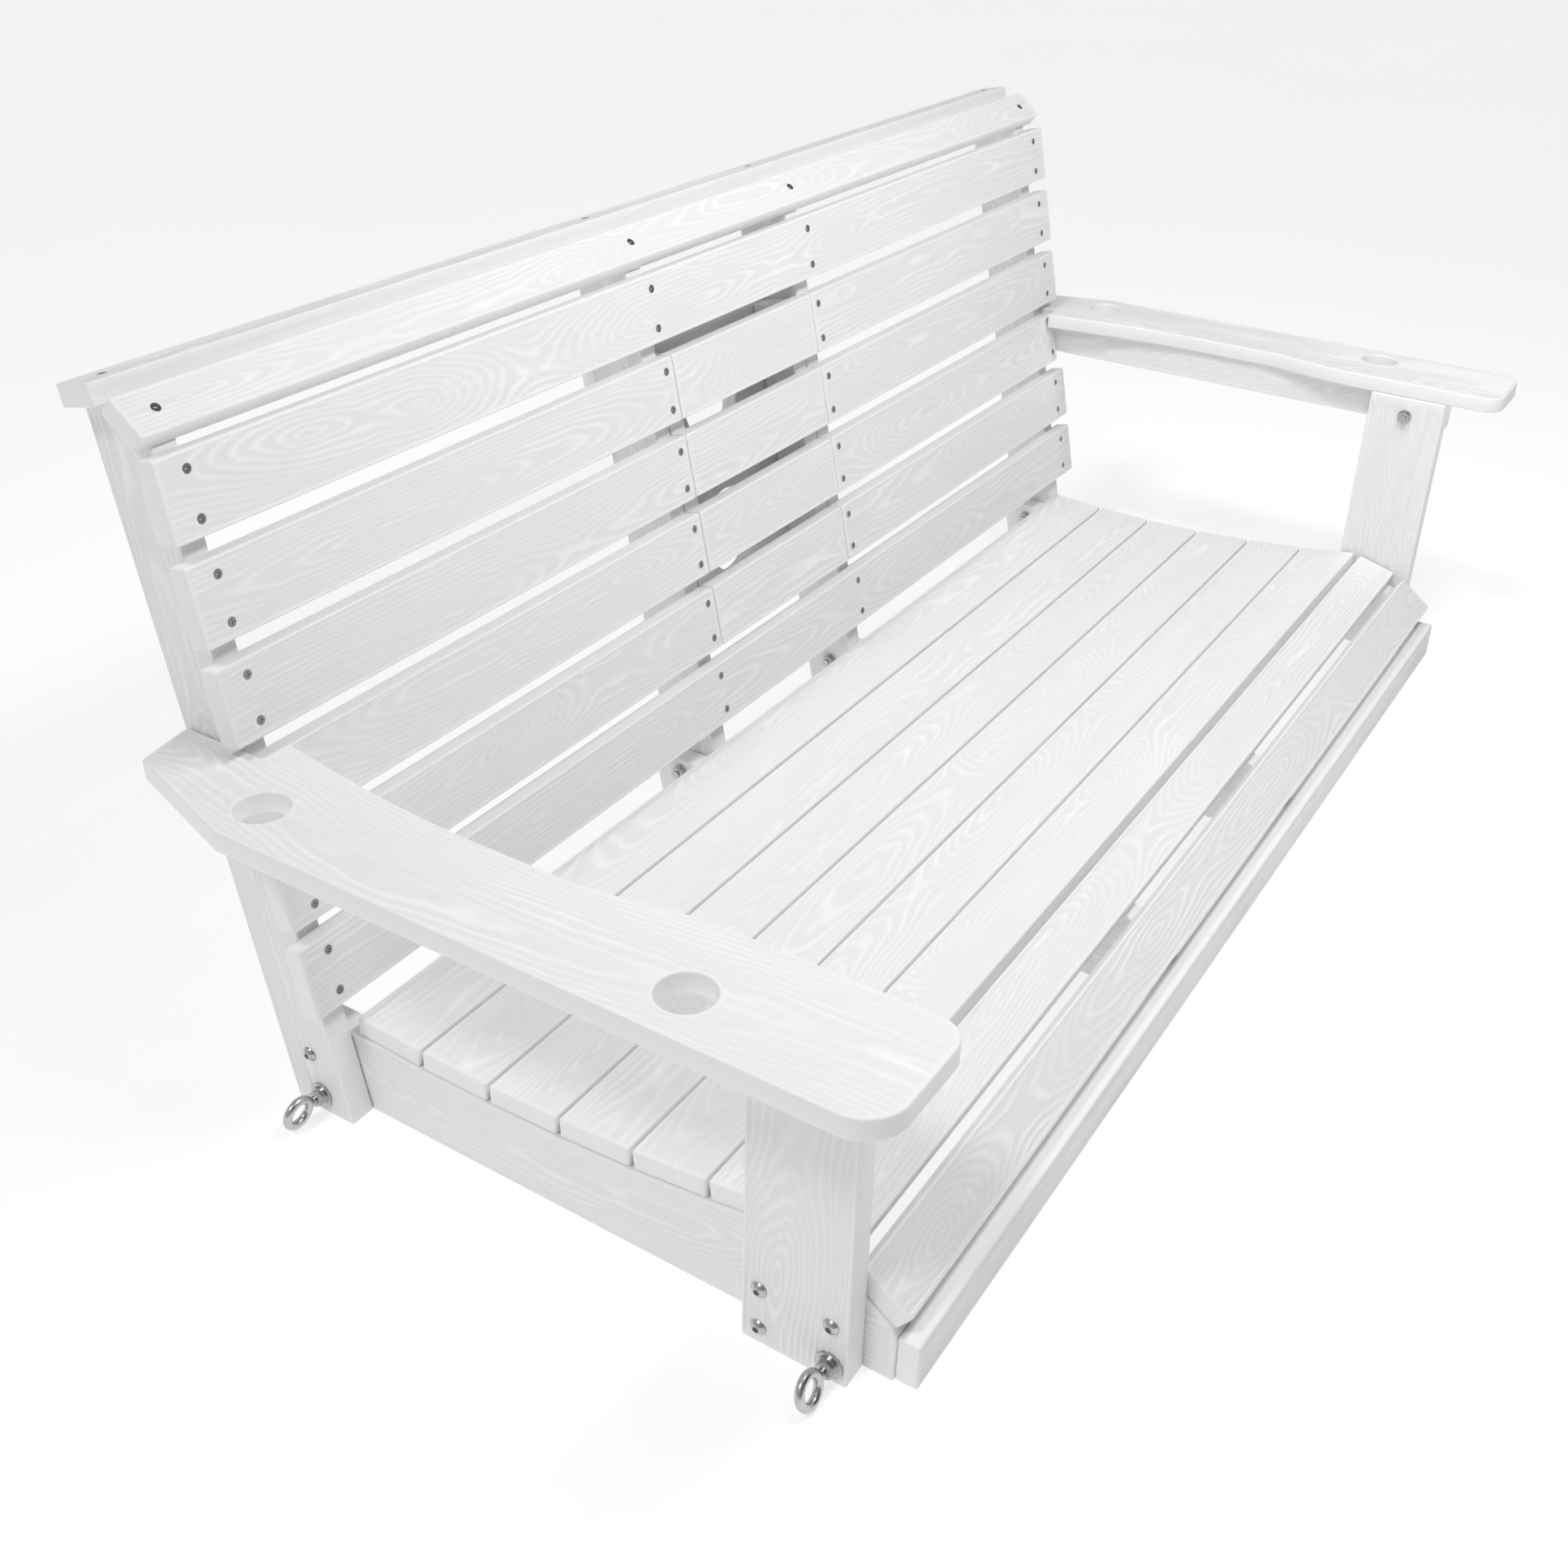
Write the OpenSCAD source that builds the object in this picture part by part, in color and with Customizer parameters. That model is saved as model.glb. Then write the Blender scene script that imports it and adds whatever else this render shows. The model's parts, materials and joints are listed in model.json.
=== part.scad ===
// Three-seat porch swing seat in moulded-grain plastic lumber.
// A slatted, dished seat and a slatted, leaning back stand on two side rails and two mid supports.
// The middle of the back is a tray that folds forward between the two mid posts.
// +Y is the back, +Z up. Left (-X) and right (+X) are as seen from the front. Sizes are in millimetres.

/* [Boards] */
// Thickness of the slats, arms, cap and tray boards
board_t = 19; // [17:0.5:21]
// Thickness of the legs, posts and side rails
frame_t = 25; // [22:0.5:28]
// Width of the back slats
back_slat_w = 67.5; // [60:0.5:70]
// Width of the flat seat slats
seat_slat_w = 70.5; // [64:0.5:72]

/* [Overall] */
// Length of the back slats
slat_l = 1524; // [1400:1:1700]
// Distance between the outer edges of the arms
overall_w = 1678; // [1560:1:1850]
// Distance from the front of the arms to the back of the crest cap
overall_d = 770; // [760:1:790]
// Height of the tops of the arms
arm_z = 360; // [350:1:370]

/* [Back] */
// Lean of the back, in degrees from upright
back_tilt = 11.9; // [11:0.1:13]
// Depth of the posts
post_d = 64; // [60:1:68]
// How far the slats pass the outer face of the outer posts
slat_overhang = 16.5; // [14:0.5:20]
// Distance from the lowest slat's bottom edge to the foot of the post, along the post
back_slat_s0 = 124; // [120:1:128]
// Distance between the same edges of neighbouring back slats
back_pitch = 83.8; // [82:0.1:86]
// Length of the posts along their front face, up to the underside of the cap
post_l = 650.5; // [648:0.5:655]
// Depth of the crest cap
cap_d = 38; // [34:1:40]
// Width of the headrest slat
headrest_w = 40; // [36:1:44]
// Angle of the headrest slat to the front of the posts
headrest_tilt = 40; // [36:1:44]

/* [Seat] */
// Width of the two front slats
nose_slat_w = 50; // [46:1:52]
// Distance between the same edges of neighbouring seat slats
seat_pitch = 73.6; // [73:0.1:75]
// Slope of the rearmost seat slat, in degrees, front edge low
seat_tilt0 = 3; // [2:0.1:4]
// Change of slope from each seat slat to the next
seat_tilt_step = 2.3; // [2:0.1:2.5]
// Height of the rearmost seat slat's top rear edge
seat_z = 98.6; // [96:0.1:102]
// How far the slat ends stay inside the side rails' outer faces
slat_inset = 2.5; // [1:0.5:8]

/* [Legs and arms] */
// Width of the front legs
leg_w = 94; // [90:1:100]
// Distance from the front of the arm to the front of the leg
arm_nose = 65; // [60:1:70]
// Diameter of the chain holes in the arms
chain_hole_d = 43; // [38:0.5:46]
// Distance of the chain holes from the middle of the seat
chain_hole_x = 796; // [788:1:800]

/* [Tray] */
// Distance from the middle of the seat to the inner faces of the mid posts
mid_post_x = 135; // [132:0.5:140]
// Side clearance between the tray and the mid posts
tray_gap = 1.5; // [1:0.25:3]
// Depth of the tray's side battens
batten_d = 44; // [40:0.5:44]
// Diameter of the two cup holes
cup_hole_d = 96; // [70:1:100]

/* [Hardware] */
// Thread diameter of the frame bolts, eye bolts and tray pivots
bolt_d = 8; // [6:1:8]
// Mean radius of the eye rings
eye_r = 12.5; // [12:0.5:14]
// Diameter of the eye rings' rod
eye_rod_d = 8; // [6:0.5:8]
// Shank diameter of the wood screws
screw_d = 4.5; // [4:0.25:5]

/* [Hidden] */
$fn = 48;

PLASTIC = "#ECECEA";
STEEL = "#B9BAB6";

// Side-to-side stations
slat_x = slat_l / 2;
post_out_x = slat_x - slat_overhang;
post_in_x = post_out_x - frame_t;
rail_in_x = post_in_x - frame_t;
seat_x = post_in_x - slat_inset;
mid_post_out_x = mid_post_x + frame_t;
support_out_x = mid_post_out_x + frame_t;
tray_x = mid_post_x - tray_gap;
arm_out_x = overall_w / 2;
arm_bottom_z = arm_z - board_t;
post_mid_x = (post_in_x + post_out_x) / 2;
mid_post_mid_x = mid_post_x + frame_t / 2;
// Clearance between boards that lie face to face
face_gap = 0.02;

// Lengthwise stations: the arms start at -overall_d / 2 and the cap ends at overall_d / 2
arm_front_y = -overall_d / 2;
leg_front_y = arm_front_y + arm_nose;
leg_mid_y = leg_front_y + leg_w / 2;
cap_front = 29;
cap_back = cap_front + cap_d;
// Depth of the slanted cut at the top of the posts, where the headrest slat lies
post_cut = 27;
post_foot_y = overall_d / 2 - (post_l + board_t) * sin(back_tilt) - cap_back * cos(back_tilt);
seat_rear_y = post_foot_y + 10;

// Turns a distance up the post and a distance behind its front face into Y and Z
function post_y(s, back) = post_foot_y + s * sin(back_tilt) + back * cos(back_tilt);
function post_z(s, back) = s * cos(back_tilt) - back * sin(back_tilt);
// Y of the middle of the post at a height
function post_mid_y(z) = post_foot_y + z * tan(back_tilt) + post_d / 2 / cos(back_tilt);

// Seat slats, rear to front: [slope, y and z of the top rear edge, width]
function tilt_of(i) = seat_tilt0 - seat_tilt_step * i;
function flat_y(i) = i == 0 ? seat_rear_y : flat_y(i - 1) - seat_pitch * cos(tilt_of(i - 1));
function flat_z(i) = i == 0 ? seat_z : flat_z(i - 1) - seat_pitch * sin(tilt_of(i - 1));
nose_tilt = 15;
front_tilt = 37;
// Gaps in front of slat 6 and of the nose slat, and the steps down across them
nose_gap = 5.4;
nose_drop = 2;
front_gap = 13.1;
front_drop = 6;
nose_y = flat_y(6) - nose_gap;
nose_z = flat_z(5) + seat_slat_w * sin(-tilt_of(5)) - nose_drop;
front_y = nose_y - nose_slat_w * cos(nose_tilt) - front_gap;
front_z = nose_z - nose_slat_w * sin(nose_tilt) - front_drop;
SEAT = [
    for (i = [0 : 5]) [tilt_of(i), flat_y(i), flat_z(i), seat_slat_w],
    [nose_tilt, nose_y, nose_z, nose_slat_w],
    [front_tilt, front_y, front_z, nose_slat_w]];
// Point on a slat's section: along it from the rear edge, and down from its top face
function on_slat(slat, along, down) = [
    slat[1] - along * cos(slat[0]) + down * sin(slat[0]),
    slat[2] - along * sin(slat[0]) - down * cos(slat[0])];

rail_nose = 2;
rail_front_y = on_slat(SEAT[7], nose_slat_w, board_t)[0] - rail_nose;
apron_h = 45;

// Bolt stations
bolt_clear = 0.4;
leg_bolt_in = 15.5;
low_bolt_z = 17;
high_bolt_z = 57;
rear_bolt_z = 60;
rear_eye_z = 18;
arm_rail_h = 40;
arm_bolt_z = arm_bottom_z - 24;
mid_bolt_zs = [20, 65];
front_eye_y = leg_front_y + leg_bolt_in;
rear_eye_y = post_mid_y(rear_eye_z);
front_hole_back = 61;
chain_hole_pitch = 391;
front_hole_y = leg_mid_y + front_hole_back;
rear_hole_y = front_hole_y + chain_hole_pitch;

// Tray stations, along the post and behind its front face
pivot_s = 228.3;
pivot_back = 10;
tray_s0 = 212;
tray_s1 = 523;
cup_s = (tray_s0 + tray_s1) / 2;
cup_pitch = 152;
rest_rail_s0 = 497;
pivot_clear = 0.1;

function back_s(row) = back_slat_s0 + back_pitch * (6 - row);

// ---------- Helpers ----------

// Extrudes a Y-Z outline from x0 to x1
module along_x(x0, x1) {
    translate([x0, 0, 0])
        rotate([90, 0, 90])
            linear_extrude(x1 - x0) children();
}

// Leans children with the back: local Z runs up the post, local Y behind its front face
module on_back() {
    translate([0, post_foot_y, 0])
        rotate([-back_tilt, 0, 0]) children();
}

// Cylinder along X, from x0 to x1
module rod_x(x0, x1, y, z, d) {
    translate([x0, y, z])
        rotate([0, 90, 0]) cylinder(h = x1 - x0, d = d);
}

// Child repeated on both sides of the seat
module both_sides() {
    children();
    mirror([1, 0, 0]) children();
}

// ---------- Seat frame ----------

module support_profile() {
    front_lip = 4;
    front_top = on_slat(SEAT[7], nose_slat_w - front_lip, board_t);
    tops = [for (slat = SEAT) each [on_slat(slat, 0, board_t), on_slat(slat, slat[3], board_t)]];
    upper = [for (i = [0 : len(tops) - 2]) tops[i]];
    top_z = tops[0][1];
    polygon(concat(
        [[rail_front_y, 0],
         [post_foot_y + post_d / cos(back_tilt), 0],
         [post_foot_y + post_d / cos(back_tilt) + top_z * tan(back_tilt), top_z]],
        upper,
        [front_top, [rail_front_y, apron_h + 1]]));
}

module side_rail() {
    color(PLASTIC) difference() {
        along_x(rail_in_x, post_in_x - face_gap) support_profile();
        frame_bores();
    }
}

module mid_support() {
    color(PLASTIC) difference() {
        along_x(mid_post_out_x + face_gap, support_out_x) support_profile();
        mid_bores();
    }
}

module seat_slat(i) {
    slat = SEAT[i];
    color(PLASTIC) along_x(-seat_x, seat_x)
        polygon([
            on_slat(slat, 0, 0), on_slat(slat, slat[3], 0),
            on_slat(slat, slat[3], board_t), on_slat(slat, 0, board_t)]);
}

module apron() {
    color(PLASTIC) translate([-seat_x, rail_front_y - board_t, 0])
        cube([2 * seat_x, board_t, apron_h]);
}

// ---------- Legs and posts ----------

module front_leg() {
    color(PLASTIC) difference() {
        translate([post_in_x, leg_front_y, 0])
            cube([frame_t, leg_w, arm_bottom_z]);
        frame_bores();
    }
}

module post_blank(x0, x1) {
    on_back() along_x(x0, x1)
        polygon([
            [0, 0], [post_d, post_d * tan(back_tilt)], [post_d, post_l],
            [post_cut, post_l], [0, post_l - post_cut / tan(headrest_tilt)]]);
}

module rear_leg() {
    color(PLASTIC) difference() {
        post_blank(post_in_x, post_out_x);
        frame_bores();
    }
}

module mid_post() {
    color(PLASTIC) difference() {
        post_blank(mid_post_x, mid_post_out_x);
        mid_bores();
        pivot_bore(bolt_d);
    }
}

// Holes for the frame bolts and eye bolts through one side
module frame_bores() {
    for (b = concat(FRAME_BOLTS, EYES, ARM_BOLTS))
        rod_x(rail_in_x - 1, arm_out_x, b[0], b[1], bolt_d + bolt_clear);
}

module mid_bores() {
    for (z = mid_bolt_zs)
        rod_x(mid_post_x - 1, support_out_x + 1, post_mid_y(z), z, bolt_d + bolt_clear);
}

module pivot_bore(d) {
    on_back() rod_x(0, support_out_x, pivot_back, pivot_s, d);
}

// ---------- Back ----------

module back_board(row, x0, x1) {
    color(PLASTIC) on_back()
        translate([x0, -board_t, back_s(row)]) cube([x1 - x0, board_t, back_slat_w]);
}

// One side piece of a middle row; the row beside the arm is cut flush with the post
module side_slat(row) {
    back_board(row, mid_post_x, row == 4 ? post_out_x : slat_x);
}

// Slat on the slanted cut of the posts
module headrest() {
    upper_edge = 23.7;
    color(PLASTIC) on_back() along_x(-slat_x, slat_x)
        translate([upper_edge, post_l - (post_cut - upper_edge) / tan(headrest_tilt)])
            rotate(90 - headrest_tilt)
                translate([-headrest_w, face_gap]) square([headrest_w, board_t]);
}

module cap() {
    color(PLASTIC) on_back()
        translate([-slat_x, cap_front, post_l]) cube([slat_l, cap_d, board_t]);
}

// Board across the backs of the mid posts: the upright tray leans on it
module rest_rail() {
    color(PLASTIC) on_back()
        translate([-mid_post_out_x, post_d, rest_rail_s0])
            cube([2 * mid_post_out_x, board_t, back_slat_w]);
}

// ---------- Arms ----------

// Smooth step from 0 to 1 as t runs from 0 to 1
function ease(t) = t <= 0 ? 0 : t >= 1 ? 1 : t * t * (3 - 2 * t);

// The arm's inner edge: it steps outwards behind the leg, then curves back in towards the post
arm_lap = 2;
waist = 17.5;
waist_v = 190;
waist_run = 130;
curve_v = 400;
curve_rate = 0.0018;
curve_power = 1.75;
function arm_in(v) = post_in_x + arm_lap + waist * ease((v - waist_v) / waist_run)
    - curve_rate * pow(max(v - curve_v, 0), curve_power);

function corner(cx, cy, r, a0, a1) = [for (a = [a0 : 6 : a1]) [cx + r * cos(a), cy + r * sin(a)]];

module arm_outline() {
    nose_r = 34;
    tuck_r = 24;
    heel = [39, 134];
    tail_drop = 10;
    post_gap = 0.5;
    slat_face_v = post_y(arm_bottom_z / cos(back_tilt), -board_t) - arm_front_y - 2;
    rear_v = post_y(arm_z / cos(back_tilt), post_d) - arm_front_y - 1;
    polygon(concat(
        corner(post_in_x + arm_lap + tuck_r, tuck_r, tuck_r, 180, 270),
        corner(arm_out_x - nose_r, nose_r, nose_r, -90, 0),
        [[arm_out_x, rear_v - heel[1]], [arm_out_x - heel[0], rear_v - tail_drop],
         [post_out_x + post_gap, rear_v], [post_out_x + post_gap, slat_face_v]],
        [for (v = [slat_face_v : -10 : 60]) [arm_in(v), v]]));
}

module arm() {
    color(PLASTIC) difference() {
        translate([0, arm_front_y, arm_bottom_z])
            linear_extrude(board_t) arm_outline();
        for (y = [front_hole_y, rear_hole_y])
            translate([chain_hole_x, y, arm_bottom_z - 1])
                cylinder(h = board_t + 2, d = chain_hole_d);
    }
}

// Board on edge under the arm, outside the leg and the post
module arm_rail() {
    back_y = post_mid_y(arm_bolt_z) + 28;
    color(PLASTIC) difference() {
        translate([post_out_x, leg_front_y, arm_bottom_z - arm_rail_h])
            cube([board_t, back_y - leg_front_y, arm_rail_h]);
        frame_bores();
    }
}

// ---------- Tray ----------

module cup_board() {
    color(PLASTIC) on_back() difference() {
        translate([-tray_x, batten_d, tray_s0])
            cube([2 * tray_x, board_t, tray_s1 - tray_s0]);
        for (s = [cup_s - cup_pitch / 2, cup_s + cup_pitch / 2])
            translate([0, batten_d - 1, s])
                rotate([-90, 0, 0]) cylinder(h = board_t + 2, d = cup_hole_d);
    }
}

module tray_batten() {
    color(PLASTIC) difference() {
        on_back() translate([tray_x - frame_t, 0, tray_s0])
            cube([frame_t, batten_d, tray_s1 - tray_s0]);
        pivot_bore(bolt_d + pivot_clear);
    }
}

// ---------- Fasteners ----------

// Stations of the bolts and eye bolts on one side, as [y, z]
FRAME_BOLTS = [
    [leg_front_y + leg_w - leg_bolt_in, low_bolt_z],
    [leg_front_y + leg_w - leg_bolt_in, high_bolt_z],
    [leg_front_y + leg_bolt_in, high_bolt_z],
    [post_mid_y(rear_bolt_z), rear_bolt_z]];
EYES = [[front_eye_y, low_bolt_z], [rear_eye_y, rear_eye_z]];
ARM_BOLTS = [[leg_mid_y, arm_bolt_z], [post_mid_y(arm_bolt_z), arm_bolt_z]];
eye_out = 28;
nut_h = 6.5;
nut_af = 13;
nut_clear = 0.2;
washer_h = 1.6;
small_washer_d = 17;
large_washer_d = 24;
flange_d = 18;
flange_h = 2;
head_d = 14;
head_h = 4.2;
socket_af = 5;
socket_h = 2.6;

module hex_nut(h) {
    difference() {
        cylinder(h = h, d = nut_af / cos(30), $fn = 6);
        translate([0, 0, -1]) cylinder(h = h + 2, d = bolt_d + nut_clear);
    }
}

module washer(d) {
    difference() {
        cylinder(h = washer_h, d = d);
        translate([0, 0, -1]) cylinder(h = washer_h + 2, d = bolt_d + bolt_clear);
    }
}

// Domed socket-head bolt along +Z: its head above z = 0, its shank below
module button_bolt(l) {
    dome_r = (pow(head_d / 2, 2) + pow(head_h, 2)) / (2 * head_h);
    difference() {
        union() {
            intersection() {
                translate([0, 0, head_h - dome_r]) sphere(r = dome_r);
                cylinder(h = head_h + 1, d = head_d);
            }
            translate([0, 0, -l]) cylinder(h = l + 0.5, d = bolt_d);
        }
        translate([0, 0, head_h - socket_h])
            cylinder(h = socket_h + 1, d = socket_af / cos(30), $fn = 6);
    }
}

// Child's +Z turned to point outwards along +X at a station
module facing_out(x, y, z) {
    translate([x, y, z]) rotate([0, 90, 0]) children();
}

module frame_bolt_set() {
    color(STEEL) both_sides() {
        for (b = FRAME_BOLTS)
            facing_out(post_out_x, b[0], b[1]) button_bolt(2 * frame_t + washer_h + nut_h + 2);
        for (b = ARM_BOLTS)
            facing_out(post_out_x + board_t, b[0], b[1])
                button_bolt(board_t + frame_t + washer_h + nut_h + 2);
    }
    // The mid bolts all run the same way, with their nuts towards -X
    color(STEEL) for (x1 = [support_out_x, -mid_post_x], z = mid_bolt_zs)
        facing_out(x1, post_mid_y(z), z)
            button_bolt(2 * frame_t + washer_h + nut_h + 2);
}

// Places children at each inner end of a frame bolt, pointing inwards
module at_nuts() {
    both_sides() {
        for (b = FRAME_BOLTS) facing_in(rail_in_x, b[0], b[1]) children();
        for (b = ARM_BOLTS) facing_in(post_in_x, b[0], b[1]) children();
    }
    for (x0 = [mid_post_x, -support_out_x], z = mid_bolt_zs)
        facing_in(x0, post_mid_y(z), z) children();
}

module facing_in(x, y, z) {
    translate([x, y, z]) rotate([0, -90, 0]) children();
}

module frame_washer_set() {
    color(STEEL) at_nuts() washer(small_washer_d);
}

module frame_nut_set() {
    color(STEEL) at_nuts() translate([0, 0, washer_h]) hex_nut(nut_h);
}

// Eye bolt pointing outwards; its ring lies in the plane of the chain that runs up to the arm
module eye_bolt(eye, hole_y) {
    lean = atan2(hole_y - eye[0], arm_z - eye[1]);
    shank_in = post_out_x - rail_in_x + washer_h + nut_h + 3;
    translate([post_out_x + eye_out, eye[0], eye[1]])
        rotate([-lean, 0, 0]) rotate([90, 0, 0])
            rotate_extrude() translate([eye_r, 0]) circle(d = eye_rod_d);
    rod_x(post_out_x - shank_in, post_out_x + eye_out - eye_r, eye[0], eye[1], bolt_d);
}

module eye_bolt_set() {
    color(STEEL) both_sides() {
        eye_bolt(EYES[0], front_hole_y);
        eye_bolt(EYES[1], rear_hole_y);
    }
}

module eye_flange_nut_set() {
    color(STEEL) both_sides() for (eye = EYES)
        facing_out(post_out_x + washer_h, eye[0], eye[1]) {
            hex_nut(nut_h + 1);
            difference() {
                cylinder(h = flange_h, d = flange_d);
                translate([0, 0, -1]) cylinder(h = flange_h + 2, d = bolt_d + nut_clear);
            }
        }
}

module eye_washer_set() {
    color(STEEL) both_sides() for (eye = EYES) {
        facing_out(post_out_x, eye[0], eye[1]) washer(large_washer_d);
        facing_in(rail_in_x, eye[0], eye[1]) washer(large_washer_d);
    }
}

module eye_lock_nut_set() {
    color(STEEL) both_sides() for (eye = EYES)
        facing_in(rail_in_x - washer_h, eye[0], eye[1]) hex_nut(nut_h);
}

// Each tray pivot: a bolt fixed in the mid post, its plain end turning in the tray's batten
module tray_pivot_set() {
    color(STEEL) both_sides() on_back()
        facing_out(mid_post_out_x, pivot_back, pivot_s)
            button_bolt(mid_post_out_x - tray_x + frame_t - 1);
}

// Cross-recessed countersunk screw along -Z, its head flush with z = 0
module wood_screw(l) {
    top_d = 8;
    cone_h = 3;
    recess = [4.8, 1, 1.8];
    difference() {
        union() {
            translate([0, 0, -cone_h]) cylinder(h = cone_h, d1 = screw_d, d2 = top_d);
            translate([0, 0, -l]) cylinder(h = l - cone_h + 0.01, d = screw_d);
        }
        for (a = [0, 90])
            rotate(a) translate([-recess[0] / 2, -recess[1] / 2, -recess[2]])
                cube([recess[0], recess[1], recess[2] + 1]);
    }
}

// Turns a screw so that it is driven backwards into the back
module from_front(x, front, s) {
    translate([x, -front, s]) rotate([90, 0, 0]) children();
}

module back_screw_set() {
    edge_in = 14;
    headrest_mid = [-3.8, 643.4];
    color(STEEL) both_sides() on_back() {
        for (row = [1 : 6], x = [post_mid_x, mid_post_mid_x], up = [edge_in, back_slat_w - edge_in])
            from_front(x, board_t, back_s(row) + up) wood_screw(50);
        for (x = [post_mid_x, mid_post_mid_x])
            translate([x, headrest_mid[0], headrest_mid[1]])
                rotate([90 - headrest_tilt, 0, 0]) wood_screw(45);
    }
}

// Hidden screw along +Z, its tip at z = 0 and its head in a pocket below
module pocket_screw() {
    l = 36;
    translate([0, 0, -l]) {
        cylinder(h = l, d = 4);
        cylinder(h = pan_h, d = 8);
    }
}

// Stations of the pocket screws: the face each row starts from, and the side it leans to
POCKETS = [[rail_in_x, 1], [support_out_x, -1]];
pocket_lean = 15;
pocket_in = 7;
bite = 14;
pan_h = 2.5;

// Screws from the sides of the supports up into each seat slat
module seat_screw_set() {
    color(STEEL) both_sides()
        for (slat = SEAT, pocket = POCKETS) {
            p = on_slat(slat, slat[3] / 2, board_t);
            translate([pocket[0] + pocket_in * pocket[1], p[0], p[1] + bite])
                rotate([0, pocket_lean * pocket[1], 0]) pocket_screw();
        }
}

// Screws from the sides of the supports forward into the apron
module apron_screw_set() {
    color(STEEL) both_sides()
        for (pocket = POCKETS, z = [12, 33])
            translate([pocket[0] + pocket_in * pocket[1], rail_front_y - bite, z])
                rotate([90, 0, pocket_lean * pocket[1]]) pocket_screw();
}

// Upward screws through the arm rails into the arms
module arm_screw_set() {
    z0 = arm_bottom_z - arm_rail_h;
    color(STEEL) both_sides() for (y = [leg_mid_y - 32, leg_mid_y + 32, leg_mid_y + 170, rear_hole_y + 30])
        translate([post_out_x + board_t / 2, y, z0]) {
            cylinder(h = arm_rail_h + bite, d = screw_d);
            cylinder(h = pan_h, d = 2 * screw_d);
        }
}

module cap_screw_set() {
    color(STEEL) both_sides() on_back() for (x = [post_mid_x, mid_post_mid_x])
        translate([x, cap_front + cap_d / 2, post_l + board_t]) wood_screw(55);
}

// Turns a screw so that it is driven forwards, from behind the back
module from_behind(x, back, s) {
    translate([x, back, s]) rotate([-90, 0, 0]) children();
}

module rest_rail_screw_set() {
    color(STEEL) both_sides() on_back()
        for (up = [16, back_slat_w - 16])
            from_behind(mid_post_mid_x, post_d + board_t, rest_rail_s0 + up) wood_screw(50);
}

// Long screws through the battens into the tray slats, and short ones through the cup board
module tray_screw_set() {
    x = tray_x - frame_t / 2;
    color(STEEL) both_sides() on_back() {
        for (row = [2 : 5])
            from_behind(x, batten_d, back_s(row) + back_slat_w / 2) wood_screw(batten_d + 13);
        for (row = [3 : 5])
            from_behind(x, batten_d + board_t, back_s(row) + back_slat_w + 8) wood_screw(45);
    }
}

// ---------- Nodes ----------

mirror([1, 0, 0]) side_rail();  // side_rail_left
side_rail();  // side_rail_right
mirror([1, 0, 0]) mid_support();  // mid_support_left
mid_support();  // mid_support_right
seat_slat(0);  // seat_slat_1
seat_slat(1);  // seat_slat_2
seat_slat(2);  // seat_slat_3
seat_slat(3);  // seat_slat_4
seat_slat(4);  // seat_slat_5
seat_slat(5);  // seat_slat_6
seat_slat(6);  // seat_nose_slat
seat_slat(7);  // seat_front_slat
apron();  // front_apron
mirror([1, 0, 0]) front_leg();  // front_leg_left
front_leg();  // front_leg_right
mirror([1, 0, 0]) rear_leg();  // rear_leg_left
rear_leg();  // rear_leg_right
mirror([1, 0, 0]) mid_post();  // mid_post_left
mid_post();  // mid_post_right
rest_rail();  // tray_rest_rail
back_board(1, -slat_x, slat_x);  // back_slat_1
mirror([1, 0, 0]) side_slat(2);  // back_slat_2_left
side_slat(2);  // back_slat_2_right
mirror([1, 0, 0]) side_slat(3);  // back_slat_3_left
side_slat(3);  // back_slat_3_right
mirror([1, 0, 0]) side_slat(4);  // back_slat_4_left
side_slat(4);  // back_slat_4_right
mirror([1, 0, 0]) side_slat(5);  // back_slat_5_left
side_slat(5);  // back_slat_5_right
back_board(6, -slat_x, slat_x);  // back_slat_6
headrest();  // headrest_slat
cap();  // crest_cap
mirror([1, 0, 0]) arm();  // arm_left
arm();  // arm_right
mirror([1, 0, 0]) arm_rail();  // arm_rail_left
arm_rail();  // arm_rail_right
back_board(2, -tray_x, tray_x);  // tray_slat_2
back_board(3, -tray_x, tray_x);  // tray_slat_3
back_board(4, -tray_x, tray_x);  // tray_slat_4
back_board(5, -tray_x, tray_x);  // tray_slat_5
cup_board();  // tray_cup_board
mirror([1, 0, 0]) tray_batten();  // tray_batten_left
tray_batten();  // tray_batten_right
eye_bolt_set();  // eye_bolts
eye_flange_nut_set();  // eye_flange_nuts
eye_washer_set();  // eye_washers
eye_lock_nut_set();  // eye_lock_nuts
frame_bolt_set();  // frame_bolts
frame_washer_set();  // frame_washers
frame_nut_set();  // frame_nuts
tray_pivot_set();  // tray_pivot_bolts
back_screw_set();  // back_screws
seat_screw_set();  // seat_screws
apron_screw_set();  // apron_screws
arm_screw_set();  // arm_screws
cap_screw_set();  // cap_screws
rest_rail_screw_set();  // rest_rail_screws
tray_screw_set();  // tray_screws
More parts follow.
